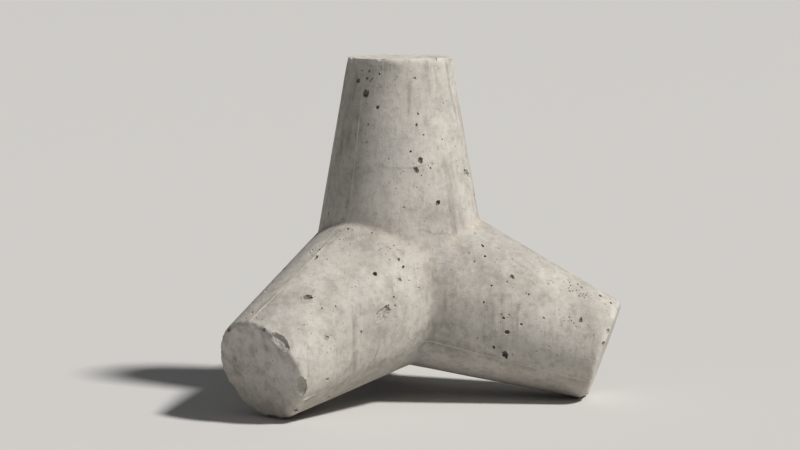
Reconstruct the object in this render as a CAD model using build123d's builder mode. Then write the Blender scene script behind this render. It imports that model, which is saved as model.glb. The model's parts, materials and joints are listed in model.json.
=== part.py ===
from build123d import *
import os
from math import acos, atan2, cos, degrees, radians, sin, tan

# Driving dimensions, in millimetres: the size that is cast from two cubic metres of concrete
height = 1926.0  # from the floor to the top of the upright leg
end_radius = 0.151 * height  # of a leg's flat end
root_radius = 0.235 * height  # of a leg where the roots of its neighbours begin
crotch_radius = 45.0  # of the round in the crease between two legs
formed_bevel = 18.0  # on the three ends that the mould forms
trowelled_bevel = 6.0  # on the top end, where the mould is filled and the concrete trowelled flat
lower_leg_azimuths = (90, 210, 330)

# The four legs point from the centre to the corners of a regular tetrahedron
leg_angle = degrees(acos(-1 / 3))
droop = leg_angle - 90
root_distance = root_radius / tan(radians(leg_angle / 2))


def taper_of(length):
    """A leg narrows from its root to its end by this angle on each side"""
    return degrees(atan2(root_radius - end_radius, length - root_distance))


def length_for(taper):
    """How long a leg is when the lower rims of the bevelled ends stand on the floor"""
    rim_drop = end_radius * cos(radians(droop)) - formed_bevel * sin(radians(droop - taper))
    return (height - rim_drop) / (1 + sin(radians(droop)))


# The taper and the length depend on each other, and settle in a few turns
leg_length = height / 2
for turn in range(6):
    leg_length = length_for(taper_of(leg_length))
leg_taper = taper_of(leg_length)
centre_radius = end_radius + leg_length * tan(radians(leg_taper))


def lower_leg_direction(azimuth):
    """Outwards and down: the three lower legs droop by the same angle below the horizontal"""
    reach = cos(radians(droop))
    return Vector(reach * cos(radians(azimuth)), reach * sin(radians(azimuth)), -sin(radians(droop)))


def seat(direction, neighbour):
    """The plane at the centre that a leg grows from, with its Y side towards a neighbour"""
    across = (neighbour - direction * neighbour.dot(direction)).normalized()
    return Plane(origin=(0, 0, 0), x_dir=across.cross(direction), z_dir=direction)


up = Vector(0, 0, 1)
lower_legs = [lower_leg_direction(azimuth) for azimuth in lower_leg_azimuths]
seats = [seat(up, lower_legs[0])] + [seat(direction, up) for direction in lower_legs]

# One leg: a cone turned about its axis, then mitred at the centre against its three neighbours
with BuildPart() as leg:
    with BuildSketch(Plane.YZ) as half_section:
        with BuildLine() as outline:
            Polyline((0, 0), (centre_radius, 0), (end_radius, leg_length), (0, leg_length), close=True)
        make_face()
    revolve(axis=Axis.Z)
    for neighbour in lower_legs:
        split(bisect_by=Plane(origin=(0, 0, 0), z_dir=up - neighbour), keep=Keep.TOP)


def is_crease(edge):
    """The curved edges close to the centre, where two legs meet"""
    return edge.geom_type != GeomType.LINE and edge.center().length < 2 * root_distance


def is_rim(edge):
    """The round edges far from the centre, where a leg ends"""
    return edge.geom_type == GeomType.CIRCLE and edge.center().length > leg_length / 2


# The casting: four legs joined at their mitres, with rounded creases and bevelled ends
with BuildPart() as tetrapod:
    with Locations(*seats):
        add(leg.part)
    fillet(tetrapod.edges().filter_by(is_crease), radius=crotch_radius)
    rims = tetrapod.edges().filter_by(is_rim).sort_by(Axis.Z)
    chamfer(rims[-1], length=trowelled_bevel)
    chamfer(rims[:-1], length=formed_bevel)

size = tetrapod.part.bounding_box().size
volume = tetrapod.part.volume
print(f"Block {size.X:.1f} by {size.Y:.1f} by {size.Z:.1f}, {volume / 1e9:.4f} cubic metres")
print(f"Leg {leg_length:.1f} long from the centre, tapering {leg_taper:.2f} degrees a side")

os.makedirs("parts", exist_ok=True)
tetrapod.part.label = "tetrapod"
export_step(tetrapod.part, "parts/tetrapod.step")
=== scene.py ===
import bpy
import json
import math
import random
from mathutils import Matrix, Vector, kdtree, noise

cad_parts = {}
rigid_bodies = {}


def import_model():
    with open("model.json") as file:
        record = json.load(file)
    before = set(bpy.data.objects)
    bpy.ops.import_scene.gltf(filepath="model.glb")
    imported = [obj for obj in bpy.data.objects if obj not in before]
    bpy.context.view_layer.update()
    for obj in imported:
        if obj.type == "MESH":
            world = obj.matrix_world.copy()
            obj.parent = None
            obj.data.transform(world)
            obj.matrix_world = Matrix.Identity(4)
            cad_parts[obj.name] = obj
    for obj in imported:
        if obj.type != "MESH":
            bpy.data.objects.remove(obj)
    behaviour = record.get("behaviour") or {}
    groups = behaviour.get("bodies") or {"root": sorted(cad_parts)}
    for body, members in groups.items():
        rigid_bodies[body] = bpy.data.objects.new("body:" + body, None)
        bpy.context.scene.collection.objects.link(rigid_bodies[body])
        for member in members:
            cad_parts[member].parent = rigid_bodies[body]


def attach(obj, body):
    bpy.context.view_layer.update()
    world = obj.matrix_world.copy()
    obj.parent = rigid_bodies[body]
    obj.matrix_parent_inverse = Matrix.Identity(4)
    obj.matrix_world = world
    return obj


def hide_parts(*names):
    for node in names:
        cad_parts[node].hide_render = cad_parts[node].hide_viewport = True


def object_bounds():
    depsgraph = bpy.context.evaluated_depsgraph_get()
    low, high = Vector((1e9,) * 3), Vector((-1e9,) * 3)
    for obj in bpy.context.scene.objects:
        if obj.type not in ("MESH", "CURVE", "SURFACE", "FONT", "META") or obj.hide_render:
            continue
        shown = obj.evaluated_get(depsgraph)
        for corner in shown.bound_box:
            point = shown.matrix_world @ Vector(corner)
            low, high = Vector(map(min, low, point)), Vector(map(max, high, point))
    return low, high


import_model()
cadLow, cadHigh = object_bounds()
blockHeight = cadHigh.z - cadLow.z
legLength = cadHigh.z  # from the centre, where the four axes meet, to the end of a leg
print("frame loaded, block height", round(blockHeight, 4))

# The shape of the casting, in metres and degrees
casting = {
    "endRadius": 0.151 * blockHeight,
    "rootRadius": 0.235 * blockHeight,
    "columns": 180,  # faces round a leg, a multiple of 12
    "rows": 64,  # faces along a leg
    "creaseWidth": 0.0213,  # from the crease to where its round begins
    "creaseSteps": 4,  # faces across the round
    "formedBevel": 0.018,  # on the ends that the mould forms
    "trowelledBevel": 0.008,  # on the top, which is trowelled
    "bevelSteps": 3,
    "bevelProfile": 0.42,  # a little flatter than round
    "seamHalfAngle": 0.9,  # the ridge at a mould seam takes up this much on each side
    "sideLength": 0.5,  # only the edges along a leg's side are longer
    "tolerance": 0.0005,
    "smoothAngle": 38,  # sharper edges stay crisp
}
legAngle = math.acos(-1 / 3)
droop = legAngle - math.pi / 2
rootDistance = casting["rootRadius"] / math.tan(legAngle / 2)
taperSlope = (casting["rootRadius"] - casting["endRadius"]) / (legLength - rootDistance)
centreRadius = casting["endRadius"] + legLength * taperSlope
seamAzimuths = (90, 210, 330)  # of the lower legs, and of the seams round every leg
halfShell = 60  # degrees from a seam to the middle of the mould shell beside it
up = Vector((0, 0, 1))


def lowerLegDirection(azimuth):
    turn = math.radians(azimuth)
    reach = math.cos(droop)
    return Vector((reach * math.cos(turn), reach * math.sin(turn), -math.sin(droop)))


legDirections = [up] + [lowerLegDirection(azimuth) for azimuth in seamAzimuths]


def legTurn(direction, neighbour):  # stands a leg on its direction, with one seam towards a neighbour
    across = (neighbour - direction * neighbour.dot(direction)).normalized()
    return Matrix((across.cross(direction), across, direction)).transposed().to_4x4()


legTurns = [legTurn(up, legDirections[1])] + [legTurn(direction, up) for direction in legDirections[1:]]


def pickOnly(*chosen):
    bpy.ops.object.select_all(action="DESELECT")
    for piece in chosen:
        piece.select_set(True)
    bpy.context.view_layer.objects.active = chosen[0]


def selectInEdit(piece, kind, test):  # ends in edit mode, with only what passes the test selected
    if bpy.context.mode != "OBJECT":
        bpy.ops.object.mode_set(mode="OBJECT")
    pickOnly(piece)
    bpy.ops.object.mode_set(mode="EDIT")
    bpy.ops.mesh.select_mode(type=kind)
    bpy.ops.mesh.select_all(action="DESELECT")
    bpy.ops.object.mode_set(mode="OBJECT")
    points = [v.co for v in piece.data.vertices]
    items = {"VERT": piece.data.vertices, "EDGE": piece.data.edges, "FACE": piece.data.polygons}[kind]
    for item in items:
        tested = [points[index] for index in item.vertices] if kind == "EDGE" else [item]
        item.select = test(*tested)
    bpy.ops.object.mode_set(mode="EDIT")


def leaveEdit():
    bpy.ops.object.mode_set(mode="OBJECT")


def applyModifier(piece, modifier):
    pickOnly(piece)
    bpy.ops.object.modifier_apply(modifier=modifier.name)


def gatherAtSeams(leg):  # the columns beside each seam move close to it
    step = 360 / casting["columns"]
    ridge = casting["seamHalfAngle"]
    for v in leg.data.vertices:
        azimuth = math.degrees(math.atan2(v.co.y, v.co.x))
        fromSeam = (azimuth - seamAzimuths[0] + halfShell) % (2 * halfShell) - halfShell
        away = abs(fromSeam)
        if away <= step * 1.01:
            newAway = away * ridge / step
        else:
            newAway = halfShell - (halfShell - away) * (halfShell - ridge) / (halfShell - step)
        turned = math.radians(azimuth - fromSeam + math.copysign(newAway, fromSeam))
        reach = math.hypot(v.co.x, v.co.y)
        v.co.x, v.co.y = reach * math.cos(turned), reach * math.sin(turned)


# One leg: a cone with its end bevelled, cut back at the centre by the three mitres
def makeLeg(name, bevelWidth):
    tolerance = casting["tolerance"]
    bpy.ops.object.select_all(action="DESELECT")
    bpy.ops.mesh.primitive_cone_add(
        vertices=casting["columns"], radius1=centreRadius, radius2=casting["endRadius"],
        depth=legLength, location=(0, 0, legLength / 2))
    leg = bpy.context.active_object
    leg.name = name
    bpy.ops.object.transform_apply(location=True, rotation=True, scale=True)
    gatherAtSeams(leg)
    selectInEdit(leg, "FACE", lambda face: face.center.z < tolerance)
    bpy.ops.mesh.delete(type="FACE")
    for direction in legDirections[1:]:
        bpy.ops.mesh.select_all(action="SELECT")
        bpy.ops.mesh.bisect(plane_co=(0, 0, 0), plane_no=(up - direction).normalized(), clear_inner=True)
    selectInEdit(leg, "EDGE", lambda a, b: min(a.z, b.z) > legLength - tolerance)
    bpy.ops.mesh.bevel(
        offset=bevelWidth, offset_type="OFFSET", segments=casting["bevelSteps"],
        profile=casting["bevelProfile"], affect="EDGES")
    leaveEdit()
    return leg


# The four legs welded at their mitres, with rounded creases and a fine grid of faces
def makeCasting():
    tolerance = casting["tolerance"]
    whole = makeLeg("tetrapodBlock", casting["trowelledBevel"])
    formedLeg = makeLeg("formedLeg", casting["formedBevel"])
    legs = [whole]
    for turn in legTurns[1:]:
        copy = formedLeg.copy()
        copy.data = formedLeg.data.copy()
        bpy.context.scene.collection.objects.link(copy)
        copy.data.transform(turn)
        legs.append(copy)
    bpy.data.objects.remove(formedLeg)
    pickOnly(*legs)
    bpy.ops.object.join()
    selectInEdit(whole, "EDGE", lambda a, b: True)
    bpy.ops.mesh.remove_doubles(threshold=tolerance)
    bpy.ops.mesh.normals_make_consistent(inside=False)
    selectInEdit(whole, "EDGE", lambda a, b: max(a.length, b.length) < 2 * rootDistance)
    bpy.ops.mesh.bevel(
        offset=casting["creaseWidth"], offset_type="OFFSET", segments=casting["creaseSteps"],
        profile=0.5, affect="EDGES")
    selectInEdit(whole, "EDGE", lambda a, b: (a - b).length > casting["sideLength"])
    bpy.ops.mesh.subdivide(number_cuts=casting["rows"] - 1)
    for direction in legDirections:  # the flat ends get a grid of faces too
        end = legLength - tolerance
        selectInEdit(whole, "FACE", lambda face: len(face.vertices) > 4 and face.center.dot(direction) > end)
        bpy.ops.mesh.delete(type="ONLY_FACE")
        bpy.ops.mesh.select_mode(type="EDGE")
        selectInEdit(whole, "EDGE", lambda a, b: min(a.dot(direction), b.dot(direction)) > end)
        bpy.ops.mesh.fill_grid(span=casting["columns"] // 4)
    selectInEdit(whole, "FACE", lambda face: True)
    bpy.ops.mesh.normals_make_consistent(inside=False)
    leaveEdit()
    return whole


block = makeCasting()
print("casting", len(block.data.polygons), "faces")

# How far the surface departs from the mould's true shape, in metres
# Layers of unevenness are given as waves to the metre and strength
surface = {
    "waveSize": 0.45, "waveDepth": 0.005,
    "rippleSize": 0.07, "rippleDepth": 0.0016,
    "seamHeight": 0.0055, "seamReach": 0.0012,
    "seamKept": 0.35, "seamLeast": 0.1,  # parts of the fin's height, which is broken in places
    "seamRuns": ((5.3, 1.4),), "seamChips": ((31, 0.5),),
    "seamFade": 0.03,  # from a leg's end
    "shellSteps": (0.0, 0.0014, -0.0009, 0.0020),  # how far each of the four mould shells stood out
    "shellFade": 0.05,  # from a leg's end
    "rimWear": 0.36, "rimWearTo": 1.1,  # parts of the bevel's own width
    "rimWearFrom": 0.002, "rimLayers": ((24, 1), (61, 0.5)),
    "trowelDepth": 0.008, "trowelMean": 0.45, "trowelStroke": 0.32,
    "strokeWaves": ((6, 2), (-9, 34)),  # in X and Y, along the strokes and across them
    "trowelLayers": ((17, 0.4),),
    "spillDepth": 0.0065, "spillLength": 0.075,  # of the grout that ran over the top rim
    "spillRuns": ((2.6, 1),), "spillTongues": ((9, 0.6),), "spillFrom": 0.05,
    "spillLeast": 0.25, "spillGrowth": 1.5, "spillThickening": 3, "spillTaper": 0.6,
}
bevels = [casting["trowelledBevel"]] + 3 * [casting["formedBevel"]]
legSpread = (up - legDirections[1]).length


def reachAlong(point):  # how far along each leg's axis a point lies
    return [point.dot(direction) for direction in legDirections]


def onLeg(leg, azimuth, along):  # a point of the mould's surface, and the way that it faces
    turn = math.radians(azimuth)
    outward = Vector((math.cos(turn), math.sin(turn), 0))
    place = legTurns[leg] @ (outward * (centreRadius - taperSlope * along) + up * along)
    return place, (legTurns[leg].to_3x3() @ (outward + up * taperSlope)).normalized()


def uneven(place, layers, shift=Vector((0, 0, 0))):
    return sum(strength * noise.noise(place * waves + shift) for waves, strength in layers)


def addClouds(piece, name, size, depth, level):
    texture = bpy.data.textures.new(name, "CLOUDS")
    texture.noise_scale = size
    texture.noise_depth = level
    modifier = piece.modifiers.new(name, "DISPLACE")
    modifier.texture = texture
    modifier.texture_coords = "LOCAL"
    modifier.strength = depth
    modifier.mid_level = 0.5
    applyModifier(piece, modifier)


def seamRidge(place, fromEnd):
    kept = surface["seamKept"] + uneven(place, surface["seamRuns"], Vector((4, 1, 9)))
    kept += uneven(place, surface["seamChips"])
    share = min(1, max(surface["seamLeast"], kept))
    return surface["seamHeight"] * share * min(1, fromEnd / surface["seamFade"])


def wornRim(place, bevel):
    return bevel * surface["rimWear"] * max(0, uneven(place, surface["rimLayers"]))


def trowelMarks(place):  # the strokes run aslant over the top
    along, across = [place.x * x + place.y * y for x, y in surface["strokeWaves"]]
    strokes = noise.noise(Vector((along, across, 3)))
    low = surface["trowelMean"] + surface["trowelStroke"] * strokes + uneven(place, surface["trowelLayers"])
    return surface["trowelDepth"] * low


def groutSpill(place, fromEnd):
    around = Vector((place.x, place.y, 0)).normalized()
    run = uneven(around, surface["spillRuns"], Vector((3, 8, 1))) + uneven(around, surface["spillTongues"])
    if run < surface["spillFrom"]:
        return 0
    length = surface["spillLength"] * min(1, surface["spillLeast"] + surface["spillGrowth"] * run)
    thickness = surface["spillDepth"] * max(0, 1 - fromEnd / length) ** surface["spillTaper"]
    return thickness * min(1, surface["spillThickening"] * run)


def roughenSurface(piece):
    addClouds(piece, "waves", surface["waveSize"], surface["waveDepth"], 1)
    addClouds(piece, "ripples", surface["rippleSize"], surface["rippleDepth"], 2)
    normals = [v.normal.copy() for v in piece.data.vertices]
    for v, normal in zip(piece.data.vertices, normals):
        reach = reachAlong(v.co)
        ordered = sorted(reach)
        leg = reach.index(ordered[-1])
        fromEnd = legLength - ordered[-1]
        if (ordered[1] - ordered[0]) / legSpread < surface["seamReach"]:
            v.co += normal * seamRidge(v.co, fromEnd)
        else:
            shell = reach.index(ordered[0])
            v.co += normal * surface["shellSteps"][shell] * min(1, fromEnd / surface["shellFade"])
        if surface["rimWearFrom"] < fromEnd < bevels[leg] * surface["rimWearTo"]:
            v.co -= normal * wornRim(v.co, bevels[leg])
        if leg == 0 and fromEnd < bevels[0]:
            v.co.z -= trowelMarks(v.co) * (1 - fromEnd / bevels[0])
        elif leg == 0 and fromEnd < 2 * surface["spillLength"]:
            v.co += normal * groutSpill(v.co, fromEnd)


roughenSurface(block)
print("surface roughened")

# Holes that air left against the mould, with sizes in metres
holes = {
    "seed": 8,
    "pits": (  # leg, azimuth round it, part of its length, radius
        (3, 203, 0.60, 0.026), (3, 183, 0.575, 0.015), (3, 150, 0.86, 0.014), (0, 214, 0.84, 0.024),
        (0, 202, 0.90, 0.017), (0, 262, 0.50, 0.021), (0, 268, 0.55, 0.016), (0, 228, 0.78, 0.013),
        (0, 20, 0.66, 0.022), (0, 120, 0.80, 0.019), (1, 70, 0.66, 0.026), (1, 110, 0.80, 0.017),
        (1, 190, 0.60, 0.018), (2, 62, 0.74, 0.022), (2, 120, 0.56, 0.018), (2, 20, 0.80, 0.015),
    ),
    "satellites": (2, 7),  # smaller holes near each pit
    "satelliteSize": (0.18, 0.42), "satelliteReach": 4.5,  # parts of the pit's radius
    "honeycomb": (  # leg, azimuth, part of its length, the patch's radius and how many holes it has
        (3, 118, 0.80, 0.060, 34), (0, 222, 0.93, 0.055, 26),
        (1, 40, 0.52, 0.050, 24), (2, 96, 0.47, 0.045, 22),
    ),
    "honeycombRadius": (0.0028, 0.0095), "honeycombSmall": 0.005,
    "pit": {"detail": 4, "lumps": 0.34},
    "large": {"count": 18, "radius": (0.011, 0.019), "detail": 3, "lumps": 0.34},
    "middling": {"count": 90, "radius": (0.0065, 0.011), "detail": 2, "lumps": 0.26},
    "small": {"count": 170, "radius": (0.0045, 0.0068), "detail": 2, "lumps": 0.16},
    "tiny": {"count": 150, "radius": (0.0028, 0.0045), "detail": 1, "lumps": 0.10},
    "shapes": 4,  # different models for each size
    "sink": (-0.25, 0.40),  # parts of the radius
    "stretch": ((0.90, 1.40), (0.70, 1.00), (0.55, 0.95)),  # along, across and inwards
    "apart": 1.3,  # times the two radii
    "endGap": 0.03,  # none closer to a leg's end
    "underside": 0.25,  # how far the holes reach round below
    "clusterWaves": 3.1, "clusterWidth": 0.25, "clusterPull": 2, "scattered": 0.1,
}
lumpLayers = ((1.5, 1), (3.6, 0.5))
crumbLayers = ((7, 1), (15, 0.7))


def markAll(piece, name, value):
    attribute = piece.data.attributes.new(name, "FLOAT", "POINT")
    attribute.data.foreach_set("value", [value] * len(piece.data.vertices))


def makeLump(detail, lumps, seed, crumbs=0):
    bpy.ops.object.select_all(action="DESELECT")
    bpy.ops.mesh.primitive_ico_sphere_add(subdivisions=detail, radius=1)
    lump = bpy.context.active_object
    shift = Vector((seed, 3.7 * seed, -1.9 * seed))  # gives each lump its own part of the noise
    for v in lump.data.vertices:
        v.co *= 1 + lumps * uneven(v.co, lumpLayers, shift) + crumbs * uneven(v.co, crumbLayers, shift)
    return lump


def placeCopy(model, place, sizes, spin, normal):
    turn = normal.to_track_quat("Z", "Y").to_matrix().to_4x4() @ Matrix.Rotation(spin, 4, "Z")
    copy = model.copy()
    copy.data = model.data.copy()
    copy.data.transform(Matrix.Translation(place) @ turn @ Matrix.Diagonal(sizes).to_4x4())
    bpy.context.scene.collection.objects.link(copy)
    return copy


def cutAway(piece, cutters, name):  # what is cut is marked by name, so that its finish can differ
    pickOnly(*cutters)
    bpy.ops.object.join()
    cutter = cutters[0]
    markAll(cutter, name, 1.0)
    markAll(piece, name, 0.0)
    modifier = piece.modifiers.new(name, "BOOLEAN")
    modifier.operation = "DIFFERENCE"
    modifier.solver = "MANIFOLD"
    modifier.object = cutter
    applyModifier(piece, modifier)
    bpy.data.objects.remove(cutter)


def nearFaces(finder, place, radius):
    return [index for centre, index, gap in finder.find_range(place, radius)]


def holeWeight(face):  # how likely a hole is in a face
    fromEnd = legLength - max(reachAlong(face.center))
    facingUp = max(0, face.normal.z + holes["underside"])
    cluster = max(0, holes["clusterWidth"] + noise.noise(face.center * holes["clusterWaves"]))
    gathered = holes["scattered"] + cluster * holes["clusterPull"]
    return face.area * (fromEnd > holes["endGap"]) * (holes["scattered"] + facingUp) * gathered


def chooseHoles(piece, draw):  # a list of face, radius and size name, the largest first
    faces = piece.data.polygons
    finder = kdtree.KDTree(len(faces))
    for face in faces:
        finder.insert(face.center, face.index)
    finder.balance()
    weights = [holeWeight(face) for face in faces]
    chosen = []

    def scatter(size):
        for index in draw.choices(range(len(faces)), weights=weights, k=holes[size]["count"]):
            chosen.append((index, draw.uniform(*holes[size]["radius"]), size))

    for leg, azimuth, share, radius in holes["pits"]:
        place = onLeg(leg, azimuth, share * legLength)[0]
        chosen.append((finder.find(place)[1], radius, "pit"))
        close = nearFaces(finder, place, holes["satelliteReach"] * radius)
        for number in range(draw.randint(*holes["satellites"])):
            chosen.append((draw.choice(close), radius * draw.uniform(*holes["satelliteSize"]), "middling"))
    scatter("large")
    scatter("middling")
    for leg, azimuth, share, spread, count in holes["honeycomb"]:
        close = nearFaces(finder, onLeg(leg, azimuth, share * legLength)[0], spread)
        for number in range(count):
            radius = draw.uniform(*holes["honeycombRadius"])
            size = "small" if radius > holes["honeycombSmall"] else "tiny"
            chosen.append((draw.choice(close), radius, size))
    scatter("small")
    scatter("tiny")
    return chosen


def cutHoles(piece):
    draw = random.Random(holes["seed"])
    models = {}
    for size in ("pit", "large", "middling", "small", "tiny"):
        detail, lumps = holes[size]["detail"], holes[size]["lumps"]
        models[size] = [makeLump(detail, lumps, seed) for seed in range(holes["shapes"])]
    placed = []
    cutters = []
    for index, radius, size in chooseHoles(piece, draw):
        face = piece.data.polygons[index]
        place = face.center - face.normal * radius * draw.uniform(*holes["sink"])
        sizes = [radius * draw.uniform(*limits) for limits in holes["stretch"]]
        model, spin = draw.choice(models[size]), draw.uniform(0, 2 * math.pi)
        if all((place - other).length > holes["apart"] * (radius + beside) for other, beside in placed):
            placed.append((place, radius))
            cutters.append(placeCopy(model, place, sizes, spin, face.normal))
    for group in models.values():
        for model in group:
            bpy.data.objects.remove(model)
    cutAway(piece, cutters, "bubbled")
    print("holes", len(placed))


cutHoles(block)

# Chips knocked out of the rims and spalls out of the legs, in metres and degrees
chips = {
    "seed": 21,
    "perRim": (6, 9, 10, 7),
    "along": (0.014, 0.080), "back": (0.012, 0.042), "deep": (0.007, 0.018),  # the smallest and the largest
    "mostlySmall": 2.5,
    "spalls": (  # leg, azimuth round it, part of its length, size and turn
        (2, 12, 0.50, (0.070, 0.034, 0.030), 35), (0, 318, 0.47, (0.046, 0.026, 0.024), -20),
        (1, 240, 0.52, (0.064, 0.032, 0.028), 60), (3, 62, 0.55, (0.044, 0.024, 0.022), 10),
    ),
    "spallLift": 0.3,  # of its depth
    "lumps": 0.26, "crumbs": 0.09,  # how uneven the broken faces are
    "coarsest": 3, "finerFrom": (0.025, 0.055),  # longer ones get finer faces
    "sliver": 0.00001,
}


def makeRock(length, seed):
    detail = chips["coarsest"] + sum(length > limit for limit in chips["finerFrom"])
    return makeLump(detail, chips["lumps"], seed, chips["crumbs"])


def cutChips(piece):
    draw = random.Random(chips["seed"])
    cutters = []
    for leg, count in enumerate(chips["perRim"]):
        for number in range(count):
            azimuth = draw.uniform(0, 2 * math.pi)
            outward = Vector((math.cos(azimuth), math.sin(azimuth), 0))
            large = draw.random() ** chips["mostlySmall"]
            limits = [chips[name] for name in ("along", "back", "deep")]
            sizes = [low + (high - low) * large for low, high in limits]
            cut = bevels[leg] / 2
            centre = outward * (casting["endRadius"] - cut) + up * (legLength - cut)
            normal = (outward + up).normalized()
            along = outward.cross(up)
            facing = Matrix((along, normal.cross(along), normal)).transposed().to_4x4()
            rock = makeRock(sizes[0], 10 * leg + number)
            standing = legTurns[leg] @ Matrix.Translation(centre) @ facing
            rock.data.transform(standing @ Matrix.Diagonal(sizes).to_4x4())
            cutters.append(rock)
    for number, (leg, azimuth, share, sizes, turn) in enumerate(chips["spalls"]):
        place, facing = onLeg(leg, azimuth, share * legLength)
        place = piece.closest_point_on_mesh(place)[1] + facing * sizes[2] * chips["spallLift"]
        rock = makeRock(sizes[0], 70 + number)
        cutters.append(placeCopy(rock, place, sizes, math.radians(turn), facing))
        bpy.data.objects.remove(rock)
    cutAway(piece, cutters, "broken")


cutChips(block)
print("chips cut", len(block.data.polygons), "faces")


def dropCrumbs(piece):  # bits that two cuts left between them, and slivers along the cuts
    highest = max(piece.data.vertices, key=lambda v: v.co.z).index
    selectInEdit(piece, "VERT", lambda v: v.index == highest)
    bpy.ops.mesh.select_linked()
    bpy.ops.mesh.select_all(action="INVERT")
    bpy.ops.mesh.delete(type="VERT")
    bpy.ops.mesh.select_all(action="SELECT")
    bpy.ops.mesh.dissolve_degenerate(threshold=chips["sliver"])
    leaveEdit()


def keepInBox(piece):
    for v in piece.data.vertices:
        v.co = Vector([min(max(v.co[i], cadLow[i]), cadHigh[i]) for i in range(3)])


def markSurface(piece):  # distances and shell numbers that the finish follows
    marks = {"seamDistance": [], "creaseDistance": [], "endDistance": [], "depth": [], "shell": []}
    for v in piece.data.vertices:
        reach = reachAlong(v.co)
        ordered = sorted(reach)
        along = ordered[-1]
        leg = reach.index(along)
        beside = centreRadius - taperSlope * along - (v.co - legDirections[leg] * along).length
        beyond = legLength - along
        marks["seamDistance"].append((ordered[1] - ordered[0]) / legSpread)
        marks["creaseDistance"].append((ordered[3] - ordered[2]) / legSpread)
        marks["endDistance"].append(beyond)
        marks["depth"].append(min(beside, beyond, (beside + beyond - bevels[leg]) / math.sqrt(2)))
        marks["shell"].append(reach.index(ordered[0]) / 3)
    for name, values in marks.items():
        piece.data.attributes.new(name, "FLOAT", "POINT").data.foreach_set("value", values)


dropCrumbs(block)
keepInBox(block)
markSurface(block)
pickOnly(block)
bpy.ops.object.shade_smooth_by_angle(angle=math.radians(casting["smoothAngle"]))
print("surface marked")

# The concrete's colours, and what is laid over what, in metres where it is a length
finish = {
    "pale": (0.545, 0.513, 0.465), "middle": (0.396, 0.368, 0.328), "dark": (0.206, 0.188, 0.165),
    # the holes' dark colour is painted shade with some dirt, for the insides of the air holes and the
    # pinholes
    "cool": (0.392, 0.384, 0.370), "laitance": (0.645, 0.613, 0.565), "holeShadeAndDirt": (0.112, 0.098, 0.081),
    "dust": (0.472, 0.415, 0.340), "stone": (0.300, 0.268, 0.232), "paleStone": (0.520, 0.470, 0.410),
    # colour, strength, where it starts and is full, then a mark's name or a cloud:
    # its waves to the metre, detail, roughness and distortion
    "patches": (
        ("middle", 1.00, 0.38, 0.62, (1.6, 5.0, 0.58, 0.3)),
        ("cool", 0.45, 0.45, 0.65, (2.7, 4.0)),
        ("middle", 0.24, 0.00, 1.00, "shell"),
        ("dark", 0.52, 0.44, 0.72, (4.2, 8.0, 0.66, 0.2)),
        ("laitance", 0.50, 0.54, 0.76, (5.6, 9.0, 0.72)),
        ("dark", 0.30, 0.46, 0.74, (15.0, 6.0, 0.7)),
    ),
    "liftLines": (0.98, 1.36),  # above the floor, where the pouring paused
    "lift": {
        "wobble": 0.05, "wobbleCloud": (3.0, 5.0), "wobbleRange": (0.2, 0.8), "step": 0.01, "paler": 0.10,
        "band": (0.012, 0.001), "brokenCloud": (7.0, 3.0), "brokenRange": (0.42, 0.60), "darker": 0.38,
    },
    # colour, strength, where it starts, and waves to the metre across a run
    "rain": (("dark", 0.40, 0.52, 6.5), ("dark", 0.50, 0.54, 13.0),
             ("laitance", 0.42, 0.57, 19.0), ("dark", 0.24, 0.55, 34.0)),
    "rainCloud": (1.0, 4.0, 0.62), "rainSoft": 0.16, "rainLength": 0.055, "rainFacing": (0.80, 0.30),
    "edgeCloud": (9.0, 5.0, 0.6), "rimCloud": (14.0, 5.0, 0.65), "dustFacing": (-0.1, 0.7),
    # how near to a seam and so on it starts and is full, in which patches, and how strong
    "seamLeak": ((0.050, 0.005), (0.42, 0.62), (0.00, 0.50)),
    "seamFin": ((0.0045, 0.0015), (0.30, 0.55), (0.15, 0.55)),
    "creaseDust": ((0.085, 0.010), (0.35, 0.60), (0.10, 0.45)),
    "rimLaitance": ((0.050, 0.010), (0.36, 0.58), (0.00, 0.55)),
    "footDust": ((0.34, 0.00), (0.36, 0.64), (0.15, 0.60)),
    "clouds": {"mottle": (30.0, 5.0, 0.62), "grain": (240.0, 3.0, 0.6)},
    # colour, strength, and where it starts and is full in the mottle or the grain
    "mottle": (("dark", 0.24, 0.50, 0.72), ("laitance", 0.20, 0.50, 0.30)),
    "grain": (("laitance", 0.28, 0.50, 0.72), ("dark", 0.34, 0.48, 0.28)),
    # the pinholes' bump, and their dark colour at this strength: painted shade, with some dirt
    "pinholes": {"waves": 46.0, "from": 0.62, "radius": 0.17, "soft": 0.035, "strength": 0.7},
    "stones": {"waves": 54.0, "radius": (0.16, 0.46), "soft": 0.06},
    "brokenDepth": (0.0008, 0.0040), "brokenStrength": 0.75,
    # inside the air holes, the deeper the darker: painted shade, with some dirt
    "holeShadeDepth": (0.0010, 0.0070), "holeShadeStrength": 0.80,
    "roughness": (0.80, 0.94), "roughRange": (0.3, 0.7), "specular": 0.3,
    "bump": 0.0024, "relief": {"grain": 0.35, "mottle": 0.9, "pinholes": -1.1, "stones": 1.2},
}


def addNode(tree, kind, inputs=(), **settings):
    made = tree.nodes.new(kind)
    for name, value in settings.items():
        setattr(made, name, value)
    for socket, value in dict(inputs).items():
        if isinstance(value, bpy.types.NodeSocket):
            tree.links.new(value, made.inputs[socket])
        else:
            made.inputs[socket].default_value = value
    return made


def cloud(tree, place, waves, detail=3.0, roughness=0.55, distortion=0.0):
    return addNode(tree, "ShaderNodeTexNoise", {
        "Vector": place, "Scale": waves, "Detail": detail, "Roughness": roughness,
        "Distortion": distortion}).outputs["Fac"]


def ramp(tree, value, low, high, start=0.0, end=1.0):
    return addNode(tree, "ShaderNodeMapRange", {
        "Value": value, "From Min": low, "From Max": high, "To Min": start, "To Max": end},
        interpolation_type="SMOOTHSTEP").outputs["Result"]


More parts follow.
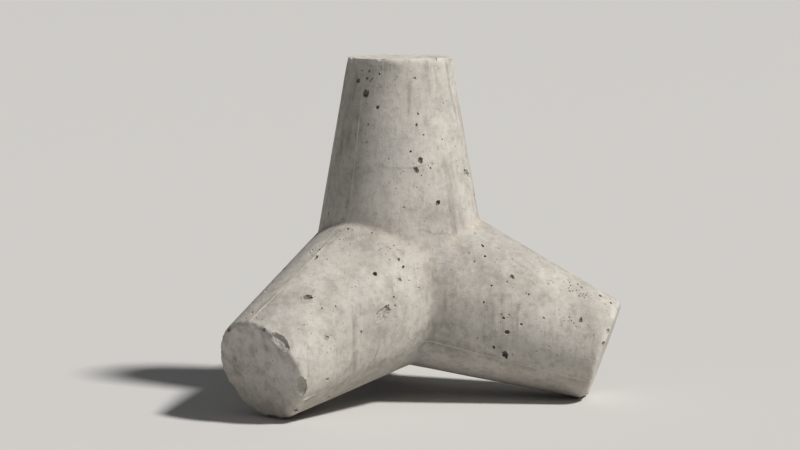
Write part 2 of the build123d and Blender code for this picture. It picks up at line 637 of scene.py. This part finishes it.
def reckon(tree, operation, first, second=0.0):
    return addNode(tree, "ShaderNodeMath", {0: first, 1: second}, operation=operation).outputs[0]


def times(tree, first, *others):
    for other in others:
        first = reckon(tree, "MULTIPLY", first, other)
    return first


def over(tree, colour, amount, layer):  # lays a layer's colour over what is there
    made = addNode(tree, "ShaderNodeMix", data_type="RGBA")
    for socket, value in (("Factor_Float", amount), ("A_Color", colour), ("B_Color", layer)):
        target = next(i for i in made.inputs if i.identifier == socket)
        if isinstance(value, bpy.types.NodeSocket):
            tree.links.new(value, target)
        else:
            target.default_value = value if socket == "Factor_Float" else (*value, 1.0)
    return next(o for o in made.outputs if o.identifier == "Result_Color")


def surfaceMark(tree, name):
    return addNode(tree, "ShaderNodeAttribute", attribute_name=name).outputs["Fac"]


def upwardPart(tree, vector):
    return addNode(tree, "ShaderNodeSeparateXYZ", {"Vector": vector}).outputs["Z"]


def scatteredCells(tree, place, waves):  # the distance to the nearest cell's centre, and a number of its own
    cells = addNode(tree, "ShaderNodeTexVoronoi", {"Vector": place, "Scale": waves, "Randomness": 1.0})
    number = addNode(tree, "ShaderNodeSeparateColor", {"Color": cells.outputs["Color"]}).outputs[0]
    return cells.outputs["Distance"], number


def castingColour(tree, place, height):  # the grey as it left the mould
    colour = finish["pale"]
    for layer, strength, low, high, source in finish["patches"]:
        value = surfaceMark(tree, source) if isinstance(source, str) else cloud(tree, place, *source)
        colour = over(tree, colour, ramp(tree, value, low, high, 0.0, strength), finish[layer])
    lift = finish["lift"]
    unevenLine = cloud(tree, place, *lift["wobbleCloud"])
    wobble = ramp(tree, unevenLine, *lift["wobbleRange"], -lift["wobble"], lift["wobble"])
    wobbled = reckon(tree, "ADD", height, wobble)
    for line in finish["liftLines"]:
        level = cadLow.z + line
        above = ramp(tree, wobbled, level - lift["step"], level + lift["step"], 0.0, lift["paler"])
        colour = over(tree, colour, above, finish["laitance"])
        gap = reckon(tree, "ABSOLUTE", reckon(tree, "SUBTRACT", wobbled, level))
        band = ramp(tree, gap, *lift["band"])
        gaps = cloud(tree, place, *lift["brokenCloud"])
        broken = ramp(tree, gaps, *lift["brokenRange"], 0.0, lift["darker"])
        colour = over(tree, colour, times(tree, band, broken), finish["dark"])
    return colour


def rainMarks(tree, place, facing, colour):  # runs down the sides, dark and pale
    sideways = ramp(tree, reckon(tree, "ABSOLUTE", facing), *finish["rainFacing"])
    for layer, strength, low, waves in finish["rain"]:
        stretch = (waves, waves, waves * finish["rainLength"])
        stretched = addNode(tree, "ShaderNodeMapping", {"Vector": place, "Scale": stretch}).outputs[0]
        streaks = cloud(tree, stretched, *finish["rainCloud"])
        run = ramp(tree, streaks, low, low + finish["rainSoft"], 0.0, strength)
        colour = over(tree, colour, times(tree, run, sideways), finish[layer])
    return colour


def nearMark(tree, distance, patchy, spot):
    reach, patches, strength = finish[spot]
    return times(tree, ramp(tree, distance, *reach), ramp(tree, patchy, *patches, *strength))


def edgeMarks(tree, place, facing, height, colour):  # at seams, creases, rims and feet
    seam = surfaceMark(tree, "seamDistance")
    patchy = cloud(tree, place, *finish["edgeCloud"])
    colour = over(tree, colour, nearMark(tree, seam, patchy, "seamLeak"), finish["dark"])
    colour = over(tree, colour, nearMark(tree, seam, patchy, "seamFin"), finish["laitance"])
    settled = nearMark(tree, surfaceMark(tree, "creaseDistance"), patchy, "creaseDust")
    settled = times(tree, settled, ramp(tree, facing, *finish["dustFacing"]))
    colour = over(tree, colour, settled, finish["dust"])
    worn = cloud(tree, place, *finish["rimCloud"])
    rim = nearMark(tree, surfaceMark(tree, "endDistance"), worn, "rimLaitance")
    colour = over(tree, colour, rim, finish["laitance"])
    aboveFloor = reckon(tree, "SUBTRACT", height, cadLow.z)
    return over(tree, colour, nearMark(tree, aboveFloor, patchy, "footDust"), finish["dust"])


def pinholes(tree, place):
    kind = finish["pinholes"]
    distance, number = scatteredCells(tree, place, kind["waves"])
    radius = ramp(tree, number, kind["from"], 1.0, 0.0, kind["radius"])
    return ramp(tree, reckon(tree, "SUBTRACT", distance, radius), 0.0, -kind["soft"])


def brokenFaces(tree, place, colour):  # stones of the mix show where concrete broke away
    kind = finish["stones"]
    distance, number = scatteredCells(tree, place, kind["waves"])
    stone = over(tree, finish["stone"], number, finish["paleStone"])
    radius = ramp(tree, number, 0.0, 1.0, *kind["radius"])
    shown = ramp(tree, reckon(tree, "SUBTRACT", radius, distance), 0.0, kind["soft"])
    rock = over(tree, finish["middle"], shown, stone)
    deep = ramp(tree, surfaceMark(tree, "depth"), *finish["brokenDepth"], 0.0, finish["brokenStrength"])
    inside = times(tree, surfaceMark(tree, "broken"), deep)
    return over(tree, colour, inside, rock), times(tree, inside, shown)


def makeConcrete():
    material = bpy.data.materials.new("castConcrete")
    material.use_nodes = True
    tree = material.node_tree
    shader = tree.nodes["Principled BSDF"]
    place = addNode(tree, "ShaderNodeTexCoord").outputs["Object"]
    height = upwardPart(tree, place)
    facing = upwardPart(tree, addNode(tree, "ShaderNodeNewGeometry").outputs["Normal"])
    colour = castingColour(tree, place, height)
    colour = rainMarks(tree, place, facing, colour)
    colour = edgeMarks(tree, place, facing, height, colour)
    heights = {name: cloud(tree, place, *size) for name, size in finish["clouds"].items()}
    for name in ("mottle", "grain"):
        for layer, strength, low, high in finish[name]:
            colour = over(tree, colour, ramp(tree, heights[name], low, high, 0.0, strength), finish[layer])
    heights["pinholes"] = pinholes(tree, place)
    # Pinholes painted dark: painted shade, with some dirt
    pinholeShade = times(tree, heights["pinholes"], finish["pinholes"]["strength"])
    colour = over(tree, colour, pinholeShade, finish["holeShadeAndDirt"])
    colour, heights["stones"] = brokenFaces(tree, place, colour)
    # The air holes darken with depth: painted shade, with some dirt
    deep = ramp(tree, surfaceMark(tree, "depth"), *finish["holeShadeDepth"], 0.0, finish["holeShadeStrength"])
    colour = over(tree, colour, times(tree, surfaceMark(tree, "bubbled"), deep), finish["holeShadeAndDirt"])
    tree.links.new(colour, shader.inputs["Base Color"])
    rough = ramp(tree, heights["mottle"], *finish["roughRange"], *finish["roughness"])
    tree.links.new(rough, shader.inputs["Roughness"])
    shader.inputs["Specular IOR Level"].default_value = finish["specular"]
    relief = 0.0
    for name, strength in finish["relief"].items():
        relief = reckon(tree, "ADD", times(tree, heights[name], strength), relief)
    bump = addNode(tree, "ShaderNodeBump", {"Height": relief, "Strength": 1.0, "Distance": finish["bump"]})
    tree.links.new(bump.outputs[0], shader.inputs["Normal"])
    return material


block.data.materials.clear()
block.data.materials.append(makeConcrete())
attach(block, "root")
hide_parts("tetrapod")
print("concrete finished")

# The studio, in metres and degrees: azimuths of the lights are from the camera's own
studio = {
    "azimuth": -20, "elevation": 6.5, "distance": 14.2, "lens": 112,
    "floorSize": 400, "floorColour": (0.545, 0.538, 0.525), "floorRoughness": 0.95,
    "key": {"azimuth": 68, "height": 50, "power": 4.15, "softness": 8, "colour": (1.0, 0.98, 0.95)},
    "fill": {"azimuth": -50, "height": 24, "power": 0.07, "softness": 60, "colour": (0.98, 0.99, 1.0)},
    "skyColour": (0.93, 0.95, 0.98), "skyStrength": 0.145,
}


def viewDirection(azimuth, elevation):
    turn, rise = math.radians(azimuth), math.radians(elevation)
    return Vector((math.sin(turn) * math.cos(rise), -math.cos(turn) * math.cos(rise), math.sin(rise)))


def addSun(name, lamp):  # lights the whole floor evenly
    data = bpy.data.lights.new(name, "SUN")
    data.energy = lamp["power"]
    data.angle = math.radians(lamp["softness"])
    data.color = lamp["colour"]
    light = bpy.data.objects.new(name, data)
    toward = viewDirection(studio["azimuth"] + lamp["azimuth"], lamp["height"])
    light.rotation_euler = toward.to_track_quat("Z", "Y").to_euler()
    bpy.context.scene.collection.objects.link(light)


def makeStudio():
    bpy.ops.object.select_all(action="DESELECT")
    bpy.ops.mesh.primitive_plane_add(size=studio["floorSize"], location=(0, 0, cadLow.z))
    floor = bpy.context.active_object
    floor.name = "studioFloor"
    paint = bpy.data.materials.new("floorPaint")
    paint.use_nodes = True
    shader = paint.node_tree.nodes["Principled BSDF"]
    shader.inputs["Base Color"].default_value = (*studio["floorColour"], 1)
    shader.inputs["Roughness"].default_value = studio["floorRoughness"]
    floor.data.materials.append(paint)
    for name in ("key", "fill"):
        addSun(name, studio[name])
    world = bpy.data.worlds.new("paleRoom")
    world.use_nodes = True
    sky = world.node_tree.nodes["Background"]
    sky.inputs["Color"].default_value = (*studio["skyColour"], 1)
    sky.inputs["Strength"].default_value = studio["skyStrength"]
    bpy.context.scene.world = world


def makeCamera():
    lens = bpy.data.cameras.new("camera")
    lens.lens = studio["lens"]
    camera = bpy.data.objects.new("camera", lens)
    toward = viewDirection(studio["azimuth"], studio["elevation"])
    camera.location = Vector((0, 0, (cadLow.z + cadHigh.z) / 2)) + toward * studio["distance"]
    camera.rotation_euler = toward.to_track_quat("Z", "Y").to_euler()
    bpy.context.scene.collection.objects.link(camera)
    bpy.context.scene.camera = camera
    bpy.context.scene.view_settings.view_transform = "Standard"


makeStudio()
makeCamera()
print("studio ready")
